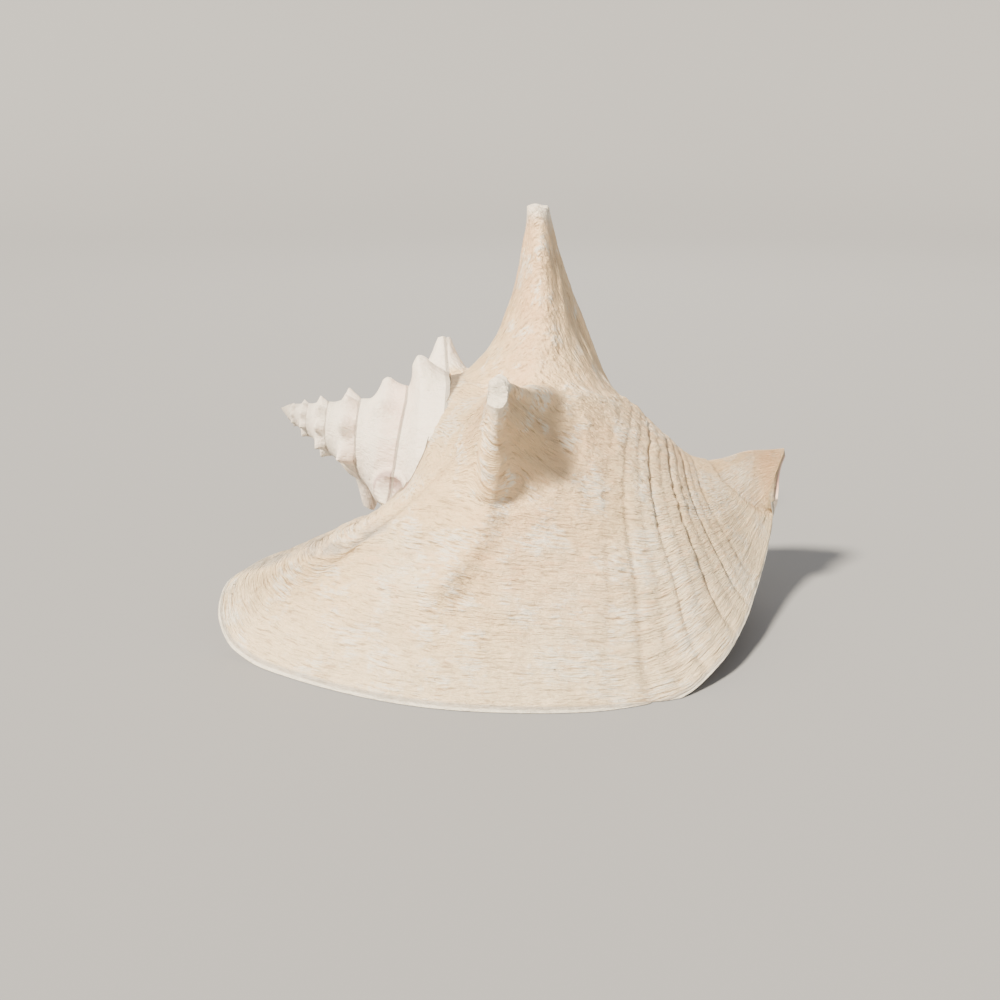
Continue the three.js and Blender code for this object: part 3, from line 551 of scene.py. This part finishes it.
def makeSpire():
    perTurn, m = form["spirePerTurn"], form["spireRows"]
    last = int(form["spireTurns"] * perTurn)
    step = 2 * math.pi / perTurn
    start = (form["lipFrom"] - 360 + 360 * form["slideTurns"]) * deg + 2 * step
    k, j = np.meshgrid(np.arange(last + 1), np.arange(m), indexing="ij")
    phi = start + (k - last) * step
    v = j / m
    p = spirePoint(phi, v)
    p, swell = withKnobs(p, phi / (2 * math.pi), v - 0.75)
    outward = unit(p - axisPoint(cylinderOf(p)[0]))
    p, tall = withSpines(p, spineFeet()[1], full=True)
    along = phi / (2 * math.pi) * 120
    still = np.zeros_like(p[..., 0])
    size = keelPlace(phi / (2 * math.pi)) / 60
    lift = 0.25 * noise(along / 0.8, v * 3, still) * size
    lift = lift + 0.18 * layeredNoise(p, 6.0) * np.clip(size, 0.3, 1)
    p = p + outward * lift[..., None]
    p[last] -= (p[last] - axisPoint(cylinderOf(p[last])[0])) * 0.06
    points = p.reshape(-1, 3)
    under = len(points)
    lastPhi = start + (np.arange(last - perTurn + 1, last + 1) - last) * step
    low = withSpines(spirePoint(lastPhi, np.ones_like(lastPhi)), spineFeet()[1], full=True)[0]
    low = low - (low - axisPoint(cylinderOf(low)[0])) * 0.015

    def at(column, row):
        if row < m:
            return column * m + row
        if column + perTurn <= last:
            return (column + perTurn) * m
        return under + column - (last - perTurn + 1)

    faces = []
    for column in range(last):
        for row in range(m):
            faces.append([at(column, row), at(column + 1, row),
                          at(column + 1, row + 1), at(column, row + 1)])
    tip, deep = under + perTurn, under + perTurn + 1
    points = np.vstack([points, low, axisPoint(np.array(0.0)), axisPoint(np.array(keelPlace(-1) * 1.1))])
    startLoop = [at(c, 0) for c in range(perTurn + 1)] + [at(0, row) for row in range(m - 1, 0, -1)]
    endLoop = [at(last, row) for row in range(m + 1)]
    endLoop += [at(c, m) for c in range(last - 1, last - perTurn, -1)]
    for loop, hub in ((startLoop, tip), (endLoop, deep)):
        for a, b in zip(loop, loop[1:] + loop[:1]):
            faces.append([hub, b, a])
    extra, turn = np.zeros(perTurn + 2), phi / (2 * math.pi)
    data = {"growth": np.concatenate([turn.ravel() + 0.03, extra - 2]),
            "share": np.concatenate([(v * 0.2).ravel(), extra]),
            "raised": np.full(len(points), 0.5), "inside": np.zeros(len(points)),
            "worn": np.concatenate([np.maximum(swell * 0.9, tall * 0.9).ravel(), extra]),
            "tint": np.concatenate([tintField("spirePeach", turn, v).ravel(), extra]),
            "tan": np.concatenate([tintField("spireTan", turn, v).ravel(), extra]),
            "rim": np.zeros(len(points)), "spire": np.ones(len(points))}
    return points, faces, data


def makeObject(name, points, faces, data):  # a grid primitive that takes the lattice's points and faces
    bpy.ops.object.select_all(action="DESELECT")
    bpy.ops.mesh.primitive_grid_add(x_subdivisions=2, y_subdivisions=2, size=0.1)
    piece = bpy.context.object
    piece.name = name
    mesh = piece.data
    mesh.clear_geometry()
    placed = (np.asarray(points) + np.array(form["toMiddle"])) / 1000
    mesh.from_pydata(placed.tolist(), [], faces)
    corners = np.empty(len(mesh.loops), np.int64)
    mesh.loops.foreach_get("vertex_index", corners)
    for key, values in data.items():  # kept at the corners of the faces, so nothing mixes across a seam
        layer = mesh.attributes.new(key, "FLOAT", "CORNER")
        layer.data.foreach_set("value", np.asarray(values, np.float32)[corners])
    return piece


def volumeOf(mesh):
    mesh.calc_loop_triangles()
    tri = np.empty(len(mesh.loop_triangles) * 3, np.int64)
    mesh.loop_triangles.foreach_get("vertices", tri)
    co = np.empty(len(mesh.vertices) * 3)
    mesh.vertices.foreach_get("co", co)
    t = co.reshape(-1, 3)[tri.reshape(-1, 3)]
    return float(np.einsum("ij,ij->i", t[:, 0], np.cross(t[:, 1], t[:, 2])).sum() / 6)


def flipIfInsideOut(piece):
    if volumeOf(piece.data) < 0:
        bpy.ops.object.select_all(action="DESELECT")
        bpy.context.view_layer.objects.active = piece
        piece.select_set(True)
        bpy.ops.object.mode_set(mode="EDIT")
        bpy.ops.mesh.select_all(action="SELECT")
        bpy.ops.mesh.flip_normals()
        bpy.ops.object.mode_set(mode="OBJECT")


def joinInto(piece, other, operation):
    bpy.ops.object.select_all(action="DESELECT")
    bpy.context.view_layer.objects.active = piece
    piece.select_set(True)
    join = piece.modifiers.new("join", "BOOLEAN")
    join.operation, join.object, join.solver = operation, other, "MANIFOLD"
    bpy.ops.object.modifier_apply(modifier="join")
    bpy.data.objects.remove(other, do_unlink=True)


shell = makeObject("conchShell", *makeWhorl())
flipIfInsideOut(shell)
print("last whorl and lip made", len(shell.data.polygons))
spire = makeObject("spire", *makeSpire())
flipIfInsideOut(spire)
joinInto(shell, spire, "UNION")
print("spire joined", len(shell.data.polygons), volumeOf(shell.data) * 1e6)
bpy.ops.object.select_all(action="DESELECT")
bpy.ops.mesh.primitive_cube_add(size=0.4, location=(0, 0, -0.2))
joinInto(shell, bpy.context.object, "DIFFERENCE")
shell.select_set(True)
bpy.ops.object.shade_smooth_by_angle(angle=math.radians(50))


def fitInBox(piece, name):  # the fine surface passes the facets by a hair, so it is drawn in to the box
    low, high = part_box(name)
    co = np.empty(len(piece.data.vertices) * 3)
    piece.data.vertices.foreach_get("co", co)
    co = co.reshape(-1, 3)
    print("fine box", co.min(0).round(4).tolist(), co.max(0).round(4).tolist())
    for c in range(3):
        a, b = co[:, c].min(), co[:, c].max()
        scale = min(1, (high[c] - low[c]) / (b - a))
        if c == 2:  # the height is drawn in towards the floor
            co[:, c] = (co[:, c] - a) * scale
        else:
            co[:, c] = (co[:, c] - (a + b) / 2) * scale + (low[c] + high[c]) / 2
    piece.data.vertices.foreach_set("co", co.ravel())
    piece.data.update()


fitInBox(shell, "conch_shell")
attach(shell, "root")
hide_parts("conch_shell")
print("shell ready", sum(len(f.vertices) - 2 for f in shell.data.polygons), "triangles")

# Looks: dry old shell outside, a smooth flesh-pink glaze inside
shellLook = {
    # the tan is painted shade, the rim grey is painted grey shade, the worn white also paints a highlight
    # along the lip's edge, and the dark dirt also paints shade along the seam
    "ivory": (0.88, 0.63, 0.35), "cream": (0.90, 0.72, 0.46), "peach": (0.87, 0.52, 0.27),
    "tan": (0.42, 0.26, 0.14), "spireWhite": (0.89, 0.79, 0.67), "spirePink": (0.84, 0.58, 0.45),
    "wearAndHighlightWhite": (0.90, 0.81, 0.65), "rimShadeGrey": (0.50, 0.45, 0.38), "dirtAndSeamShade": (0.17, 0.12, 0.075),
    "scar": (0.50, 0.36, 0.31), "glaze": (0.80, 0.42, 0.32), "glazeEdge": (0.82, 0.68, 0.56),
    "outerRough": 0.5, "glazeRough": 0.2, "bump": 1.0, "bumpDepth": 0.005,
    # how much of each colour goes on
    "bandMix": 0.55, "hollowMix": 0.4, "wrinkleShadowMix": 0.6, "fretMix": 0.85, "lineShadeMix": 0.7, "pitMix": 0.8,
    "tipMix": 0.85, "seamMix": 0.9, "spireMix": 0.92,
    # noise scales, from the broad patches to the pits
    "patchScale": 17.0, "waverScale": 45.0, "smallScale": 70.0, "spotScale": 420.0,
    "glow": 0.06, "glowRadius": (0.006, 0.004, 0.0028), "gloss": 0.42,
}


class Nodes:  # short ways to place and join shader nodes
    def __init__(self, tree):
        self.tree = tree

    def add(self, kind, **values):
        node = self.tree.nodes.new(kind)
        for key, value in values.items():
            setattr(node, key, value)
        return node

    def feed(self, socket, source):
        if isinstance(source, tuple) and socket.type != "VECTOR":
            source = (*source, 1)
        if isinstance(source, (int, float, tuple)):
            socket.default_value = source
        elif source is not None:
            self.tree.links.new(source, socket)

    def math(self, operation, a, b, clamp=False):
        node = self.add("ShaderNodeMath", operation=operation, use_clamp=clamp)
        for socket, source in zip(node.inputs, (a, b)):
            self.feed(socket, source)
        return node.outputs[0]

    def times(self, a, b, clamp=False):
        return self.math("MULTIPLY", a, b, clamp=clamp)

    def mix(self, factor, a, b):
        node = self.add("ShaderNodeMix", data_type="RGBA")
        self.feed(node.inputs[0], factor)
        self.feed(node.inputs[6], a)
        self.feed(node.inputs[7], b)
        return node.outputs[2]

    def remap(self, value, low, high, toLow=0.0, toHigh=1.0):
        node = self.add("ShaderNodeMapRange", interpolation_type="SMOOTHSTEP")
        for socket, source in zip(node.inputs, (value, low, high, toLow, toHigh)):
            self.feed(socket, source)
        return node.outputs[0]

    def noise(self, vector, scale, detail=3.0, rough=0.55):
        node = self.add("ShaderNodeTexNoise")
        self.feed(node.inputs["Vector"], vector)
        for key, value in (("Scale", scale), ("Detail", detail), ("Roughness", rough)):
            node.inputs[key].default_value = value
        return node.outputs["Fac"]

    def attribute(self, name):
        return self.add("ShaderNodeAttribute", attribute_name=name).outputs["Fac"]

    def vector(self, x, y, z):
        node = self.add("ShaderNodeCombineXYZ")
        for socket, source in zip(node.inputs, (x, y, z)):
            self.feed(socket, source)
        return node.outputs[0]


def makeShellMaterial():
    look = shellLook
    material = bpy.data.materials.new("dryShell")
    material.use_nodes = True
    tree = material.node_tree
    n = Nodes(tree)
    shader = tree.nodes["Principled BSDF"]
    place = n.add("ShaderNodeTexCoord").outputs["Object"]
    growth, share, inside, worn = (n.attribute(key) for key in ("growth", "share", "inside", "worn"))
    tint, tan, rim, raised = (n.attribute(key) for key in ("tint", "tan", "rim", "raised"))
    onSpire = n.attribute("spire")
    # growth lines follow the lip's edge, wavering a little
    waver = n.noise(place, look["waverScale"], 3.0)
    lineAlong = n.math("ADD", n.times(growth, 52.0), n.times(waver, 1.3))
    lines = n.noise(n.vector(lineAlong, n.times(share, 17.0), 0.0), 1.6, 5.0, 0.62)
    fineLines = n.noise(n.vector(n.times(lineAlong, 2.6), n.times(share, 34.0), 2.0), 1.5, 4.0)
    patches = n.noise(place, look["patchScale"], 4.0, 0.6)
    small = n.noise(place, look["smallScale"], 5.0, 0.65)
    spots = n.noise(place, look["spotScale"], 3.0, 0.6)
    # ivory and cream in patches, with peach where the tints say and in bands
    colour = n.mix(n.remap(patches, 0.38, 0.62), look["ivory"], look["cream"])
    peachy = n.times(tint, n.remap(patches, 0.72, 0.3, 0.35, 0.95), clamp=True)
    colour = n.mix(peachy, colour, look["peach"])
    bands = n.times(n.remap(lines, 0.50, 0.64), n.remap(patches, 0.3, 0.6))
    colour = n.mix(n.times(bands, look["bandMix"]), colour, look["peach"])
    # painted tan shadows along the fine growth lines
    wrinkleShadows = n.times(n.remap(fineLines, 0.47, 0.36), n.remap(lines, 0.56, 0.42))
    # the lower lip pales towards its edge, and the spire is white with a pink tinge
    colour = n.mix(n.remap(growth, 0.72, 0.97, 0.0, 0.75), colour, look["cream"])
    spireColour = n.mix(n.times(tint, 0.75, clamp=True), look["spireWhite"], look["spirePink"])
    colour = n.mix(n.times(onSpire, look["spireMix"]), colour, spireColour)
    # painted shade: tan in the hollows, in the grooves and as shadows along the growth lines; the spire's
    # broken knob keeps its scar colour; painted light: paler crests
    away = n.math("SUBTRACT", 1.0, onSpire)
    grooves = n.times(n.remap(raised, 0.5, 0.12), n.remap(lines, 0.62, 0.38, 0.35, 0.9))
    tintShade = n.times(tan, n.remap(small, 0.66, 0.34, 0.2, 0.75))
    hollow = n.times(n.math("MAXIMUM", grooves, tintShade), away)
    colour = n.mix(n.times(hollow, look["hollowMix"], clamp=True), colour, look["tan"])
    colour = n.mix(n.times(n.times(wrinkleShadows, away), look["wrinkleShadowMix"]), colour, look["tan"])
    colour = n.mix(n.times(n.remap(tan, 0.35, 0.6), onSpire), colour, look["scar"])
    colour = n.mix(n.times(n.remap(raised, 0.6, 1.0), 0.5), colour, look["cream"])
    # chalk-white fretting, painted tan shade in the low parts of the fine lines, dark dirt in the pits, and
    # painted grey shade on the strip over the ear's crest
    fret = n.times(n.remap(small, 0.50, 0.60), n.remap(fineLines, 0.45, 0.55))
    colour = n.mix(n.times(fret, look["fretMix"]), colour, look["wearAndHighlightWhite"])
    # painted shade in the low parts of the fine lines
    lineShade = n.times(n.remap(fineLines, 0.42, 0.30), n.remap(small, 0.42, 0.6))
    colour = n.mix(n.times(n.times(lineShade, away), look["lineShadeMix"]), colour, look["tan"])
    pits = n.times(n.remap(spots, 0.32, 0.25), n.remap(small, 0.48, 0.58))
    colour = n.mix(n.times(pits, look["pitMix"]), colour, look["dirtAndSeamShade"])
    # painted grey shade on the strip over the ear's crest
    colour = n.mix(n.times(rim, n.remap(small, 0.40, 0.58, 0.8, 0.1)), colour, look["rimShadeGrey"])
    # worn tips; on the lip's thin rim a painted grey shade line where the edge curls and a painted white
    # highlight along the edge; and painted dark shade in the crease where the lip meets the spire
    uneven = n.times(n.math("SUBTRACT", small, 0.5), 0.3)
    tips = n.remap(n.math("ADD", worn, uneven), 0.8, 0.97)
    colour = n.mix(n.times(tips, look["tipMix"]), colour, look["wearAndHighlightWhite"])
    # painted grey shade where the lip's edge curls, then a painted highlight along the edge
    colour = n.mix(n.remap(growth, 0.980, 0.987, 0.0, 0.75), colour, look["rimShadeGrey"])
    colour = n.mix(n.remap(growth, 0.991, 0.995), colour, look["wearAndHighlightWhite"])
    # painted dark shade in the crease where the lip's top row meets the spire
    alongSeam = n.times(n.remap(growth, 0.0, 0.03), n.remap(growth, 0.8, 0.6))
    seam = n.times(n.remap(share, 0.034, 0.022), alongSeam)
    colour = n.mix(n.times(seam, look["seamMix"]), colour, look["dirtAndSeamShade"])
    # the glaze on the inner side, and where the lip grew over the last whorl
    glaze = n.mix(n.remap(growth, 0.55, 0.98), look["glaze"], look["glazeEdge"])
    glaze = n.mix(n.times(n.remap(patches, 0.4, 0.65), 0.3), glaze, look["cream"])
    early = n.times(n.remap(growth, -0.58, -0.68), n.remap(share, 0.24, 0.32))
    innerMask = n.math("MAXIMUM", n.remap(inside, 0.35, 0.75), early)
    n.feed(shader.inputs["Base Color"], n.mix(innerMask, colour, glaze))
    outer = n.remap(small, 0.3, 0.7, look["outerRough"] - 0.1, look["outerRough"] + 0.16)
    outer = n.times(outer, n.math("SUBTRACT", 1.0, innerMask))
    n.feed(shader.inputs["Roughness"], n.math("ADD", outer, n.times(innerMask, look["glazeRough"])))
    height = n.math("ADD", n.times(lines, 0.5), n.times(fineLines, 0.35))
    height = n.times(height, n.math("SUBTRACT", 1.0, n.times(onSpire, 0.7)))
    height = n.math("ADD", height, n.times(small, 0.4))
    height = n.times(height, n.math("SUBTRACT", 1.0, n.times(innerMask, 0.94)))
    bump = n.add("ShaderNodeBump")
    bump.inputs["Strength"].default_value = look["bump"]
    bump.inputs["Distance"].default_value = look["bumpDepth"]
    n.feed(bump.inputs["Height"], height)
    n.feed(shader.inputs["Normal"], bump.outputs["Normal"])
    shader.inputs["Subsurface Weight"].default_value = look["glow"]
    shader.inputs["Subsurface Radius"].default_value = look["glowRadius"]
    shader.inputs["Specular IOR Level"].default_value = look["gloss"]
    return material


shell.data.materials.clear()
shell.data.materials.append(makeShellMaterial())
print("shell material made")

# Floor, lights and camera
stageLook = {"floor": (0.25, 0.248, 0.245), "size": 9.0, "below": 0.0003, "bendAt": 1.3, "bendRadius": 1.6,
             "rough": 0.8, "world": (0.88, 0.88, 0.90), "worldStrength": 0.55}
bpy.ops.object.select_all(action="DESELECT")
bpy.ops.mesh.primitive_grid_add(x_subdivisions=2, y_subdivisions=180, size=stageLook["size"],
                                location=(0, 0, -stageLook["below"]))
floor = bpy.context.object
floor.name = "floor"
bendAt, bendRadius = stageLook["bendAt"], stageLook["bendRadius"]
for vertex in floor.data.vertices:  # flat round the shell, and rising in one smooth bend behind it
    turn = min(math.pi / 2, max(0, (vertex.co.y - bendAt) / bendRadius))
    if turn > 0:
        over = vertex.co.y - bendAt - turn * bendRadius
        vertex.co.y = bendAt + bendRadius * math.sin(turn)
        vertex.co.z = bendRadius * (1 - math.cos(turn)) + over
bpy.ops.object.shade_smooth()
floorMaterial = bpy.data.materials.new("paleFloor")
floorMaterial.use_nodes = True
floorNodes = Nodes(floorMaterial.node_tree)
floorShader = floorMaterial.node_tree.nodes["Principled BSDF"]
floorPlace = floorNodes.add("ShaderNodeTexCoord").outputs["Object"]
tone = floorNodes.noise(floorPlace, 3.0, 2.0)
paler = tuple(c * 1.03 for c in stageLook["floor"])
floorNodes.feed(floorShader.inputs["Base Color"], floorNodes.mix(tone, stageLook["floor"], paler))
floorShader.inputs["Roughness"].default_value = stageLook["rough"]
floor.data.materials.append(floorMaterial)

world = bpy.data.worlds.new("studio")
bpy.context.scene.world = world
world.use_nodes = True
background = world.node_tree.nodes["Background"]
background.inputs["Color"].default_value = (*stageLook["world"], 1)
background.inputs["Strength"].default_value = stageLook["worldStrength"]

# name, kind, place, size or spread, power, tint
lamps = [("key", "SUN", (-0.62, -0.5, 0.9), 0.16, 13.0, (1.0, 0.91, 0.77)),
         ("fill", "AREA", (0.9, -0.6, 0.5), 0.9, 2.5, (0.95, 0.96, 1.0)),
         ("back", "AREA", (0.1, 0.95, 0.8), 0.8, 5.0, (1.0, 0.98, 0.95))]
for name, kind, place, size, power, tint in lamps:
    bpy.ops.object.light_add(type=kind, location=place)
    lamp = bpy.context.object
    lamp.name = name
    lamp.data.energy, lamp.data.color = power, tint
    if kind == "SUN":
        lamp.data.angle = size
    else:
        lamp.data.size = size
    aim = np.array((0, 0, 0.05)) - np.array(place)  # every lamp looks at the shell's middle
    flat = math.hypot(aim[0], aim[1])
    lamp.rotation_euler = (math.atan2(flat, -aim[2]), 0, math.atan2(-aim[0], aim[1]))

# the camera's focal length is in widths of its sensor
view = {"elevation": 20.0, "distance": 0.466, "target": (-0.0049, 0.0131, 0.039), "sensor": 36, "focal": 1.1}
bpy.ops.object.camera_add()
camera = bpy.context.object
camera.data.sensor_width = view["sensor"]
camera.data.lens = view["sensor"] * view["focal"]
camera.data.clip_start = 0.01
rise, distance = view["elevation"] * deg, view["distance"]
x, y, z = view["target"]
camera.location = (x, y - distance * math.cos(rise), z + distance * math.sin(rise))
camera.rotation_euler = (math.pi / 2 - rise, 0, 0)
bpy.context.scene.camera = camera
print("stage made")
